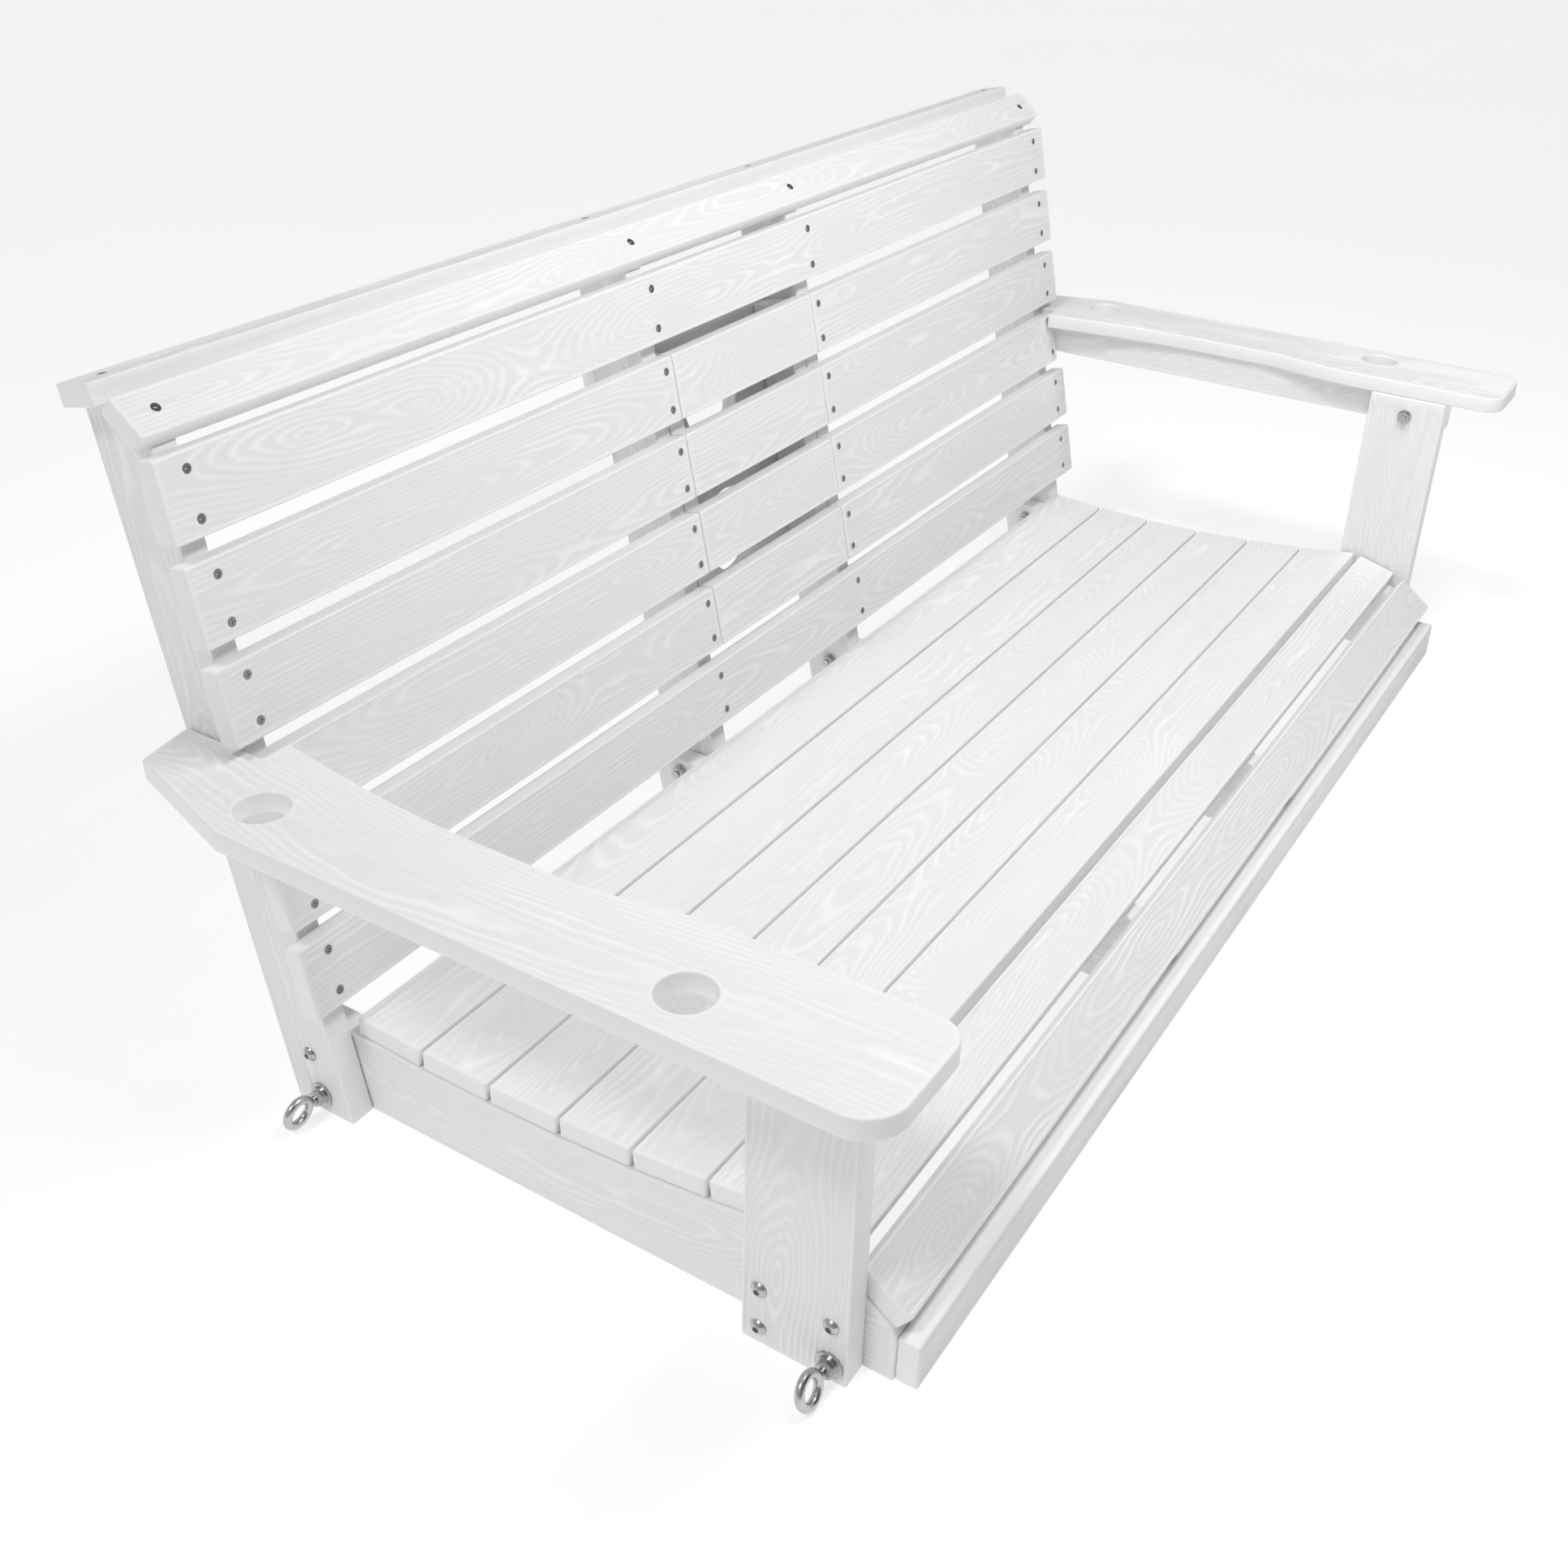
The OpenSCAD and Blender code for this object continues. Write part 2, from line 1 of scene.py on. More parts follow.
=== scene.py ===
"""A plastic-lumber porch swing seat: embossed boards, steel fasteners, a studio and a camera."""
import json
import math
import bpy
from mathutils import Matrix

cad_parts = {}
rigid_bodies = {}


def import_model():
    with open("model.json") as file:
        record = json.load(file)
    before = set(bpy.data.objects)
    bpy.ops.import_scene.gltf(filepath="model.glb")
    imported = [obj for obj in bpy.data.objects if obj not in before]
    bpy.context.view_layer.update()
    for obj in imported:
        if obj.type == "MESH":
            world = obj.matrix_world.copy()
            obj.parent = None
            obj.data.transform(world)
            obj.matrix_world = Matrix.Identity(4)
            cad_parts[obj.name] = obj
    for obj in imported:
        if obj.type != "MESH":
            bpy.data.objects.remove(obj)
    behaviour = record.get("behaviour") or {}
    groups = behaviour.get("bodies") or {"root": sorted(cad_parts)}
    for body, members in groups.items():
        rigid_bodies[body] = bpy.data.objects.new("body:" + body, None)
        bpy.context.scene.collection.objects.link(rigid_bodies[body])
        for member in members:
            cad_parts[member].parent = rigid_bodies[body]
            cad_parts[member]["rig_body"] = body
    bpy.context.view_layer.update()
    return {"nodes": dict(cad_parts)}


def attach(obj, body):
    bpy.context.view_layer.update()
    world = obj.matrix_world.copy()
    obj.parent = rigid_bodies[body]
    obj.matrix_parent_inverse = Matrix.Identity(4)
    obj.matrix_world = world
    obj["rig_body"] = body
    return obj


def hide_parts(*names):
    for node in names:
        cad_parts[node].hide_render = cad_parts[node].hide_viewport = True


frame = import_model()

import zlib

import bpy
import numpy as np
from mathutils import Matrix, Vector, geometry

NODES = frame["nodes"]
MM = 0.001

# Boards: rounded edges, round holes and pits over the screw heads
EDGE_R = 2.0 * MM
CORNER_R = 3.0 * MM
EDGE_STEPS = 3
SMALL_HOLE_R = 8 * MM
SMALL_EDGE_R = 0.5 * MM
SMALL_HOLE_SIDES = 24
HOLE_SIDES = 72
SCREW_PIT_R = 4.2 * MM
SCREW_PIT_FLOOR = 0.94
SCREW_PIT_DEPTH = 1.2 * MM

# Boards: embossed grain, on grids with their long cells along the grain
RELIEF = 0.85 * MM
RELIEF_FADE = 2.0 * MM
COARSE = 1
SHOW_GRID = (5 * MM * COARSE, 0.9 * MM * COARSE)
BACK_GRID = (10 * MM * COARSE, 2.4 * MM * COARSE)
GRID_CLEAR = 0.6
EDGE_STRETCH = 1.3

# Eye bolts: the remesh that fillets them
EYE_VOXEL = 0.5 * MM
EYE_SMOOTHING = 14

# Limits of what counts as the same place, the same direction, flat or straight
WELD = MM / 500
TINY_AREA = 1e-12
TINY_GAP = 1e-7
FLAT = 0.02 * MM
RIM = 0.05 * MM
FLUSH = 0.1 * MM
ROUND_SLACK = 0.1 * MM
FEWEST_SIDES = 8
FACING = 0.3
PARALLEL = 0.9999
STRAIGHT = math.radians(0.4)
BLUNT = math.radians(20)

X, Y, Z = np.eye(3)


# ---------- Reading the frame ----------

def welded(obj):
    """Corners and triangles of a CAD node, with corners at one place joined."""
    mesh = obj.data
    mesh.calc_loop_triangles()
    co = np.zeros(len(mesh.vertices) * 3)
    mesh.vertices.foreach_get("co", co)
    co = co.reshape(-1, 3)
    tri = np.zeros(len(mesh.loop_triangles) * 3, int)
    mesh.loop_triangles.foreach_get("vertices", tri)
    cells = np.round(co / WELD).astype(int)
    _, first, place = np.unique(cells, axis=0, return_index=True, return_inverse=True)
    tri = place.ravel()[tri].reshape(-1, 3)
    distinct = (tri[:, 0] != tri[:, 1]) & (tri[:, 1] != tri[:, 2]) & (tri[:, 2] != tri[:, 0])
    return co[first], tri[distinct]


def main_normal(co, tri, hint):
    """Normal of the node's largest flat face on the side that hint points to."""
    a, b, c = co[tri[:, 0]], co[tri[:, 1]], co[tri[:, 2]]
    cross = np.cross(b - a, c - a)
    area = np.linalg.norm(cross, axis=1)
    normal = cross / np.maximum(area, TINY_AREA)[:, None]
    seen = (normal @ hint > FACING) & (area > TINY_AREA)
    normal, area = normal[seen], area[seen]
    totals = [area[normal @ n > PARALLEL].sum() for n in normal]
    return normal[int(np.argmax(totals))]


def face_loops(co, tri, n):
    """Outlines of the flat face furthest along n, as arrays of corners."""
    along = co @ n
    top = along > along.max() - FLAT
    faces = tri[top[tri].all(1)]
    edges = {(int(t[i]), int(t[(i + 1) % 3])) for t in faces for i in range(3)}
    follow = {a: b for a, b in edges if (b, a) not in edges}
    loops = []
    while follow:
        start, corner = follow.popitem()
        loop = [start]
        while corner != start:
            loop.append(corner)
            corner = follow.pop(corner)
        loops.append(co[loop])
    return loops


def solids(co, tri):
    """The separate solids of a node, each as an array of its corners."""
    parent = list(range(len(co)))

    def root(i):
        while parent[i] != i:
            parent[i] = parent[parent[i]]
            i = parent[i]
        return i

    for a, b, c in tri:
        parent[root(a)] = root(b)
        parent[root(b)] = root(c)
    roots = np.array([root(i) for i in range(len(co))])
    return [co[roots == r] for r in np.unique(roots)]


VISIBLE_SCREWS = ("back_screws", "cap_screws", "rest_rail_screws", "tray_screws")
SCREWS = [screw for node in VISIBLE_SCREWS for screw in solids(*welded(NODES[node]))]


def screw_heads(n, level):
    """Centres of the screw heads that lie flush in the plane at a level along n."""
    heads = []
    for corners in SCREWS:
        along = corners @ n
        rim = corners[along > along.max() - RIM]
        if abs(along.max() - level) < FLUSH and len(rim) > FEWEST_SIDES:
            heads.append((rim.max(0) + rim.min(0)) / 2)
    return heads


# ---------- Outlines ----------

def turn_at(points):
    """Turning angle at each corner of a closed outline."""
    into = points - np.roll(points, 1, 0)
    out = np.roll(points, -1, 0) - points
    cross = into[:, 0] * out[:, 1] - into[:, 1] * out[:, 0]
    return np.arctan2(cross, (into * out).sum(1))


def tidy(points):
    """An outline without the corners that lie on a straight stretch."""
    return points[np.abs(turn_at(points)) > STRAIGHT]


def rounded(points, radius):
    """An outline whose sharp corners are curves of about a radius."""
    longest_reach = 0.4
    result = []
    for i, (p, turn) in enumerate(zip(points, turn_at(points))):
        into, out = p - points[i - 1], points[(i + 1) % len(points)] - p
        lengths = np.hypot(*into), np.hypot(*out)
        if abs(turn) < BLUNT:
            result.append(p)
            continue
        reach = min(radius * abs(math.tan(turn / 2)), longest_reach * min(lengths))
        start, end = p - into / lengths[0] * reach, p + out / lengths[1] * reach
        for t in np.linspace(0, 1, EDGE_STEPS + 2):
            result.append((1 - t) ** 2 * start + 2 * t * (1 - t) * p + t ** 2 * end)
    return np.array(result)


def resampled(points, grid):
    """An outline with its long edges cut to about the grid's spacing."""
    result = []
    for p, q in zip(points, np.roll(points, -1, 0)):
        cells = math.hypot((q[0] - p[0]) / grid[0], (q[1] - p[1]) / grid[1])
        pieces = max(1, math.ceil(cells / EDGE_STRETCH))
        result.extend(p + (q - p) * k / pieces for k in range(pieces))
    return np.array(result)


def circle(centre, radius, count):
    """A clockwise circle, which is the direction of a hole's outline."""
    angles = -np.arange(count) * 2 * math.pi / count
    return centre + radius * np.column_stack([np.cos(angles), np.sin(angles)])


def inset(points, distance):
    """An outline moved towards the material, which lies on its left."""
    into = points - np.roll(points, 1, 0)
    into /= np.linalg.norm(into, axis=1)[:, None]
    out = np.roll(into, -1, 0)
    left_in = np.column_stack([-into[:, 1], into[:, 0]])
    left_out = np.column_stack([-out[:, 1], out[:, 0]])
    share = 1 + (left_in * left_out).sum(1)
    return points + distance * (left_in + left_out) / share[:, None]


def edge_distance(points, loops):
    """Distance of each point to the nearest outline, and whether it is inside them."""
    far = 1.0
    near = np.full(len(points), far)
    inside = np.zeros(len(points), bool)
    for loop in loops:
        for p, q in zip(loop, np.roll(loop, -1, 0)):
            d = q - p
            t = np.clip(((points - p) @ d) / (d @ d), 0, 1)
            gap = points - p - t[:, None] * d
            near = np.minimum(near, np.hypot(gap[:, 0], gap[:, 1]))
            spans = (p[1] > points[:, 1]) != (q[1] > points[:, 1])
            if p[1] != q[1]:
                cut = p[0] + (points[:, 1] - p[1]) / (q[1] - p[1]) * d[0]
                inside ^= spans & (points[:, 0] < cut)
    return near, inside


# ---------- Grain ----------

def lattice_noise(rng, x, y):
    """Smooth noise from -1 to 1 with one random value per unit cell."""
    x, y = x - x.min(), y - y.min()
    table = rng.uniform(-1, 1, (int(x.max()) + 3, int(y.max()) + 3))
    i, j = x.astype(int), y.astype(int)
    fx, fy = x - i, y - j
    fx, fy = fx * fx * (3 - 2 * fx), fy * fy * (3 - 2 * fy)
    low = table[i, j] * (1 - fx) + table[i + 1, j] * fx
    high = table[i, j + 1] * (1 - fx) + table[i + 1, j + 1] * fx
    return low * (1 - fy) + high * fy


# Growth rings: their spacing in mm, then how their centre wanders across the board, as a
# share of its width, and below its face, in mm. Lengths along and across are in metres.
RING_PITCH = (3.7, 4.8)
HEART_AT, HEART_SWAY, HEART_LENGTH = (-0.2, 0.2), 0.3, 0.4
HEART_DEPTH, DEPTH_SWAY, DEPTH_LENGTH = (6, 20), 34, 0.21
# Wavering of the rings: its amount in rings, then its length along and across
WAVERS = ((0.50, 0.06, 0.016), (0.16, 0.018, 0.006))
RING_SHARPNESS = 3
# Strength of the rings and of the fibres between them
STRENGTH, STRENGTH_SWAY, STRENGTH_SIZE = 0.60, 0.40, (0.08, 0.02)
FIBRE_HEIGHT, FIBRE_SIZE = 0.10, (0.02, 0.0025)
LOWEST = -0.2


def growth_rings(rng, a, b):
    """Height, mostly 0 to 1, of rings cut lengthwise: arches, ovals and wavering lines."""
    zero = np.zeros_like(a)
    width = b.max() - b.min()
    pitch = rng.uniform(*RING_PITCH) * MM
    heart = rng.uniform(*HEART_AT) + HEART_SWAY * lattice_noise(rng, a / HEART_LENGTH, zero)
    depth = rng.uniform(*HEART_DEPTH) + DEPTH_SWAY * lattice_noise(rng, a / DEPTH_LENGTH, zero)
    rings = np.hypot(b - heart * width, depth * MM) / pitch
    for amount, length, breadth in WAVERS:
        rings += amount * lattice_noise(rng, a / length, b / breadth)
    line = (0.5 + 0.5 * np.cos(2 * math.pi * rings)) ** RING_SHARPNESS
    sway = lattice_noise(rng, a / STRENGTH_SIZE[0], b / STRENGTH_SIZE[1])
    fibres = lattice_noise(rng, a / FIBRE_SIZE[0], b / FIBRE_SIZE[1])
    height = line * (STRENGTH + STRENGTH_SWAY * sway) + FIBRE_HEIGHT * fibres
    return np.clip(height, LOWEST, 1)


# ---------- Boards ----------

class Weave:
    """The cells of a rectangular grid that lie well inside some outlines."""

    def __init__(self, loops, grid, clear):
        low, high = loops[0].min(0), loops[0].max(0)
        counts = [max(2, round((high[k] - low[k]) / grid[k])) for k in (0, 1)]
        self.low, self.step = low, (high - low) / counts
        axes = [low[k] + self.step[k] * np.arange(1, counts[k]) for k in (0, 1)]
        points = np.array(np.meshgrid(*axes, indexing="ij"))
        shape = points.shape[1:]
        points = points.reshape(2, -1).T
        near, inside = edge_distance(points, loops)
        good = (inside & (near > clear)).reshape(shape)
        self.cells = good[:-1, :-1] & good[1:, :-1] & good[:-1, 1:] & good[1:, 1:]
        i, j = np.nonzero(self.cells)
        index = np.arange(len(points)).reshape(shape)
        around = (index[i, j], index[i + 1, j], index[i + 1, j + 1], index[i, j + 1])
        quads = np.column_stack(around)
        used, place = np.unique(quads, return_inverse=True)
        self.points, self.near = points[used], near[used]
        self.quads = place.reshape(-1, 4)
        self.rim = self.open_edges()

    def open_edges(self):
        """Edges with a cell on one side only."""
        edges = np.concatenate([self.quads[:, [k, (k + 1) % 4]] for k in range(4)])
        _, first, count = np.unique(np.sort(edges, 1), axis=0,
                                    return_index=True, return_counts=True)
        return edges[first[count == 1]]

    def holds(self, points):
        """Whether each point lies in one of the cells."""
        i, j = np.floor((points - self.low) / self.step - 1).astype(int).T
        fits = (i >= 0) & (j >= 0) & (i < self.cells.shape[0]) & (j < self.cells.shape[1])
        result = np.zeros(len(points), bool)
        result[fits] = self.cells[i[fits], j[fits]]
        return result


def band(loops, weave):
    """Triangles between the outlines and a weave, and the weave's corners they use."""
    rim, ends = np.unique(weave.rim, return_inverse=True)
    points = np.concatenate(loops + [weave.points[rim]])
    edges, start = [], 0
    for loop in loops:
        count = len(loop)
        edges += [(start + i, start + (i + 1) % count) for i in range(count)]
        start += count
    edges += (ends.reshape(-1, 2) + start).tolist()
    centre = points.mean(0)
    corners = [tuple(p) for p in points - centre]
    result = geometry.delaunay_2d_cdt(corners, edges, [], 0, TINY_GAP)
    faces, origins = result[2], result[3]
    origin = np.array([ids[0] if ids else -1 for ids in origins])
    tri = origin[np.array([face for face in faces if len(face) == 3])]
    tri = tri[(tri >= 0).all(1)]
    middle = points[tri].mean(1)
    _, inside = edge_distance(middle, loops)
    tri = tri[inside & ~weave.holds(middle)]
    p, q, r = points[tri[:, 0]], points[tri[:, 1]], points[tri[:, 2]]
    pq, pr = q - p, r - p
    area = pq[:, 0] * pr[:, 1] - pq[:, 1] * pr[:, 0]
    tri[area < 0] = tri[area < 0][:, ::-1]
    return tri[np.abs(area) > TINY_AREA], rim


class Plate:
    """The points, faces and shading values of a board's mesh while it is being built."""

    def __init__(self):
        self.points, self.plain, self.ridge, self.faces = [], [], [], []
        self.count = 0

    def add(self, outline, level, plain, ridge=0.5):
        """Adds points at a level, or one level each, and returns their indices."""
        count = len(outline)
        self.points.append(np.column_stack([outline, np.broadcast_to(level, count)]))
        self.plain.append(np.full(count, plain))
        self.ridge.append(np.broadcast_to(ridge, count))
        start = self.count
        self.count += count
        return np.arange(start, self.count)

    def strip(self, low, high):
        """Joins two rings of points with quads that face right of the rings' direction."""
        after_low, after_high = np.roll(low, -1), np.roll(high, -1)
        self.faces += np.column_stack([low, after_low, after_high, high]).tolist()


def edge_radius(loop):
    """Radius of the rounding along an outline: less around a bolt hole."""
    size = (loop.max(0) - loop.min(0)).max()
    return SMALL_EDGE_R if size < 2 * SMALL_HOLE_R else EDGE_R


def is_round(loop):
    """Whether an outline is a circle drawn with straight sides."""
    centre = (loop.max(0) + loop.min(0)) / 2
    radii = np.linalg.norm(loop - centre, axis=1)
    return len(loop) >= FEWEST_SIDES and radii.max() - radii.min() < ROUND_SLACK


def board_outlines(loops, grid):
    """The board's outlines, outer one first, with rounded corners and finer circles."""
    loops = sorted(loops, key=box_area, reverse=True)
    result = [resampled(rounded(tidy(loops[0]), CORNER_R), grid)]
    for loop in loops[1:]:
        centre = (loop.max(0) + loop.min(0)) / 2
        radius = np.linalg.norm(loop - centre, axis=1).mean()
        count = SMALL_HOLE_SIDES if radius < SMALL_HOLE_R else HOLE_SIDES
        result.append(circle(centre, radius, count) if is_round(loop) else tidy(loop))
    return result


def add_wall(plate, loop, thickness):
    """Adds the wall along an outline with its two rounded edges; returns its end rings."""
    radius = edge_radius(loop)
    angles = np.linspace(math.pi / 2, 0, EDGE_STEPS + 1)
    insets = radius * (1 - np.cos(angles))
    lows = radius * (1 - np.sin(angles))
    rings = [plate.add(inset(loop, d), h, 1.0) for d, h in zip(insets, lows)]
    rings += [plate.add(inset(loop, d), thickness - h, 1.0)
              for d, h in zip(insets[::-1], lows[::-1])]
    for low, high in zip(rings, rings[1:]):
        plate.strip(low, high)
    return rings[0], rings[-1]


def add_pit(plate, head, thickness):
    """Adds the shallow pit that a screw head sits in; returns its mouth's ring and outline."""
    mouth = circle(head, SCREW_PIT_R, SMALL_HOLE_SIDES)
    foot = circle(head, SCREW_PIT_R * SCREW_PIT_FLOOR, SMALL_HOLE_SIDES)
    ring = plate.add(mouth, thickness, 0.0)
    base = plate.add(foot, thickness - SCREW_PIT_DEPTH, 0.0)
    plate.strip(base, ring)
    plate.faces.append(base[::-1].tolist())
    return ring, mouth


def build_plate(loops, thickness, heads, rng):
    """A board on the plane of its outlines, its show face at thickness."""
    plate = Plate()
    top_rings, bottom_rings = [], []
    for loop in board_outlines(loops, SHOW_GRID):
        bottom, top = add_wall(plate, loop, thickness)
        edge = inset(loop, edge_radius(loop))
        bottom_rings.append((bottom, edge))
        top_rings.append((top, edge))
    top_rings += [add_pit(plate, head, thickness) for head in heads]
    fill(plate, top_rings, SHOW_GRID, thickness, rng)
    fill(plate, bottom_rings, BACK_GRID, 0.0, rng, -1)
    return plate


def fill(plate, rings, grid, level, rng, up=1):
    """Fills one wide face with grain; up is -1 for the back face."""
    loops = [outline for _, outline in rings]
    weave = Weave(loops, grid, min(grid) * GRID_CLEAR)
    fade = np.clip(weave.near / RELIEF_FADE, 0, 1)
    fade = fade * fade * (3 - 2 * fade)
    middle = (loops[0].max(0) + loops[0].min(0)) / 2
    height = growth_rings(rng, *(weave.points - middle).T)
    levels = level - up * RELIEF * (1 - height) * fade
    # the ridge value carries the grain's height to the material, which paints shade in the
    # valleys and a highlight on the ridges from it
    added = plate.add(weave.points, levels, 0.0, 0.5 + (height - 0.5) * fade)
    tri, rim = band(loops, weave)
    lookup = np.concatenate([ring for ring, _ in rings] + [added[rim]])
    for faces in (lookup[tri], added[weave.quads]):
        plate.faces += faces[:, ::up].tolist()


def box_area(loop):
    """Area of the box around an outline."""
    return np.prod(loop.max(0) - loop.min(0))


def heads_within(heads, loops):
    """The screw heads that lie wholly inside the largest outline."""
    if not heads:
        return heads
    near, inside = edge_distance(np.array(heads), [max(loops, key=box_area)])
    return [head for head, ok in zip(heads, inside & (near > SCREW_PIT_R)) if ok]


def make_board(node, hint, along):
    """Rebuilds a CAD board with rounded edges and embossed grain along one direction."""
    co, tri = welded(NODES[node])
    n = main_normal(co, tri, hint)
    u = along - (along @ n) * n
    u /= np.linalg.norm(u)
    v = np.cross(n, u)
    levels = co @ n
    loops = [np.column_stack([loop @ u, loop @ v]) for loop in face_loops(co, tri, n)]
    heads = [np.array([head @ u, head @ v]) for head in screw_heads(n, levels.max())]
    heads = heads_within(heads, loops)
    rng = np.random.default_rng(zlib.crc32(node.encode()))
    plate = build_plate(loops, levels.max() - levels.min(), heads, rng)
    local = np.concatenate(plate.points)
    world = local @ np.array([u, v, n]) + n * levels.min()
    mesh = bpy.data.meshes.new(node + "_board")
    mesh.from_pydata(world.tolist(), [], plate.faces)
    mesh.materials.append(PLASTIC)
    mesh.shade_smooth()
    middle = (local.max(0) + local.min(0)) / 2
    shift = rng.uniform(-5, 5, 3)
    store(mesh, "grain", "FLOAT_VECTOR", "vector", (local - middle + shift).ravel())
    store(mesh, "plain", "FLOAT", "value", np.concatenate(plate.plain))
    store(mesh, "ridge", "FLOAT", "value", np.concatenate(plate.ridge))
    stand_in(placed(node + "_board", mesh), node)


def store(mesh, name, kind, field, values):
    """Keeps one value per point, for the material to read."""
    attribute = mesh.attributes.new(name, kind, "POINT")
    attribute.data.foreach_set(field, values.astype(np.float32))


def placed(name, data):
    """A new object in the scene."""
    made = bpy.data.objects.new(name, data)
    bpy.context.scene.collection.objects.link(made)
    return made


def stand_in(obj, node):
    """Makes an object ride on a node's body and show in the node's place."""
    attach(obj, NODES[node]["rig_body"])
    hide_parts(node)


# ---------- Materials ----------

class Shader:
    """Short calls for a material's nodes."""

    def __init__(self, name):
        self.material = bpy.data.materials.new(name)
        self.material.use_nodes = True
        self.tree = self.material.node_tree
        self.surface = self.tree.nodes["Principled BSDF"]

    def node(self, kind, **inputs):
        """A new shader node with some of its inputs set."""
        made = self.tree.nodes.new("ShaderNode" + kind)
        for name, value in inputs.items():
            self.set(made.inputs[name.replace("_", " ")], value)
        return made

    def set(self, socket, value):
        """Links a socket to another node's output, or gives it a fixed value."""
        if isinstance(value, bpy.types.NodeSocket):
            self.tree.links.new(value, socket)
        else:
            socket.default_value = value

    def math(self, operation, a, b=0.0):
        """One arithmetic step on two values."""
        made = self.tree.nodes.new("ShaderNodeMath")
        made.operation = operation
        self.set(made.inputs[0], a)
        self.set(made.inputs[1], b)
        return made.outputs[0]

    def stretched(self, source, scale):
        """Coordinates scaled differently along each axis."""
        return self.node("Mapping", Vector=source, Scale=scale).outputs[0]

    def noise(self, vector, detail=3.0, roughness=0.5):
        """Procedural noise from 0 to 1."""
        return self.node("TexNoise", Vector=vector, Scale=1.0, Detail=detail,
                         Roughness=roughness).outputs[0]

    def ramp(self, value, low, high):
        """A value from 0 to 1 spread between two limits."""
        made = self.tree.nodes.new("ShaderNodeMapRange")
        for socket, number in zip(made.inputs, (value, 0.0, 1.0, low, high)):
            self.set(socket, number)
        return made.outputs[0]

    def mix(self, share, first, second, how="MIX"):
        """Two colours mixed by a share."""
        made = self.node("MixRGB", Fac=share, Color1=first, Color2=second)
        made.blend_type = how
        return made.outputs[0]

    def attribute(self, name, output):
        """A value stored on the mesh's points."""
        made = self.tree.nodes.new("ShaderNodeAttribute")
        made.attribute_name = name
        return made.outputs[output]

    def bump(self, height, distance, strength, under=None):
        """A normal tilted by a height field, on top of another normal."""
        made = self.node("Bump", Height=height, Distance=distance, Strength=strength)
        if under is not None:
            self.set(made.inputs["Normal"], under)
        return made.outputs[0]

    def surfaced(self, **inputs):
        """Sets inputs of the material's surface and returns the material."""
        for name, value in inputs.items():
            self.set(self.surface.inputs[name.replace("_", " ")], value)
        return self.material


def grey(value):
    """A faintly warm grey, as polished steel has."""
    return value, value * 0.995, value * 0.975, 1


# Plastic: base colours, then each pattern's frequency per metre along, across and through
# a board, with the height of its bumps
PLASTIC_DARK, PLASTIC_LIGHT = (0.853, 0.852, 0.838, 1), (0.89, 0.89, 0.88, 1)
# Painted shade in the grain's valleys and painted highlight on its ridges, as factors on the
# base colour
VALLEY_PAINTED_SHADE, RIDGE_PAINTED_HIGHLIGHT = 0.905, 1.035
TONE_SCALE = (3, 30, 30)
FIBRE_SCALE, FIBRE_BUMP = (28, 620, 620), 0.25 * MM
SKIN_SCALE, SKIN_BUMP = (1600, 1600, 1600), 0.05 * MM
SWELL_SCALE, SWELL_RINGS = (2.2, 26, 26), 11.0
EDGE_RINGS, EDGE_LINE_BUMP = 165.0, 0.22 * MM


def edge_lines(s, at):
    """Growth lines for a board's edges and ends, which have no relief of their own."""
    swell = s.noise(s.stretched(at, SWELL_SCALE), 1.0)
    across = s.node("SeparateXYZ", Vector=at).outputs[1]
    rings = s.math("ADD", s.math("MULTIPLY", across, EDGE_RINGS),
                   s.math("MULTIPLY", swell, SWELL_RINGS))
    wave = s.math("SINE", s.math("MULTIPLY", rings, 2 * math.pi))
    positive = s.math("ADD", s.math("MULTIPLY", wave, 0.5), 0.5)
    return s.math("MULTIPLY", s.math("POWER", positive, 2.0), s.attribute("plain", "Fac"))


def plastic():
    """Off-white plastic lumber: satin, with painted shade in the valleys of its grain and a
    painted highlight on its ridges.
    """
    s = Shader("plastic_lumber")
    at = s.attribute("grain", "Vector")
    fibres = s.noise(s.stretched(at, FIBRE_SCALE), 4.0, 0.6)
    skin = s.noise(s.stretched(at, SKIN_SCALE), 2.0)
    normal = s.bump(edge_lines(s, at), EDGE_LINE_BUMP, 0.6)
    normal = s.bump(fibres, FIBRE_BUMP, 0.5, normal)
    normal = s.bump(skin, SKIN_BUMP, 0.35, normal)
    tone = s.noise(s.stretched(at, TONE_SCALE), 3.0)
    batch = s.mix(tone, PLASTIC_DARK, PLASTIC_LIGHT)
    # painted shade in the grain's valleys and painted highlight on its ridges, multiplied into
    # the base colour
    shade = s.ramp(s.attribute("ridge", "Fac"), VALLEY_PAINTED_SHADE, RIDGE_PAINTED_HIGHLIGHT)
    return s.surfaced(Base_Color=s.mix(1.0, batch, shade, "MULTIPLY"),
                      Roughness=s.ramp(fibres, 0.40, 0.56),
                      Specular_IOR_Level=0.38, Normal=normal)


def steel(name, dark, light):
    """Brushed steel, smeared between a dark and a light grey."""
    s = Shader(name)
    place = s.node("TexCoord").outputs["Object"]
    smear = s.noise(s.stretched(place, (90, 90, 90)), 3.0, 0.5)
    lines = s.noise(s.stretched(place, (500, 3000, 3000)), 2.0)
    edges = s.node("Bevel", Radius=0.35 * MM).outputs[0]
    return s.surfaced(Base_Color=s.mix(smear, grey(dark), grey(light)), Metallic=1.0,
                      Roughness=s.ramp(smear, 0.20, 0.34),
                      Normal=s.bump(lines, 0.01 * MM, 0.4, edges))


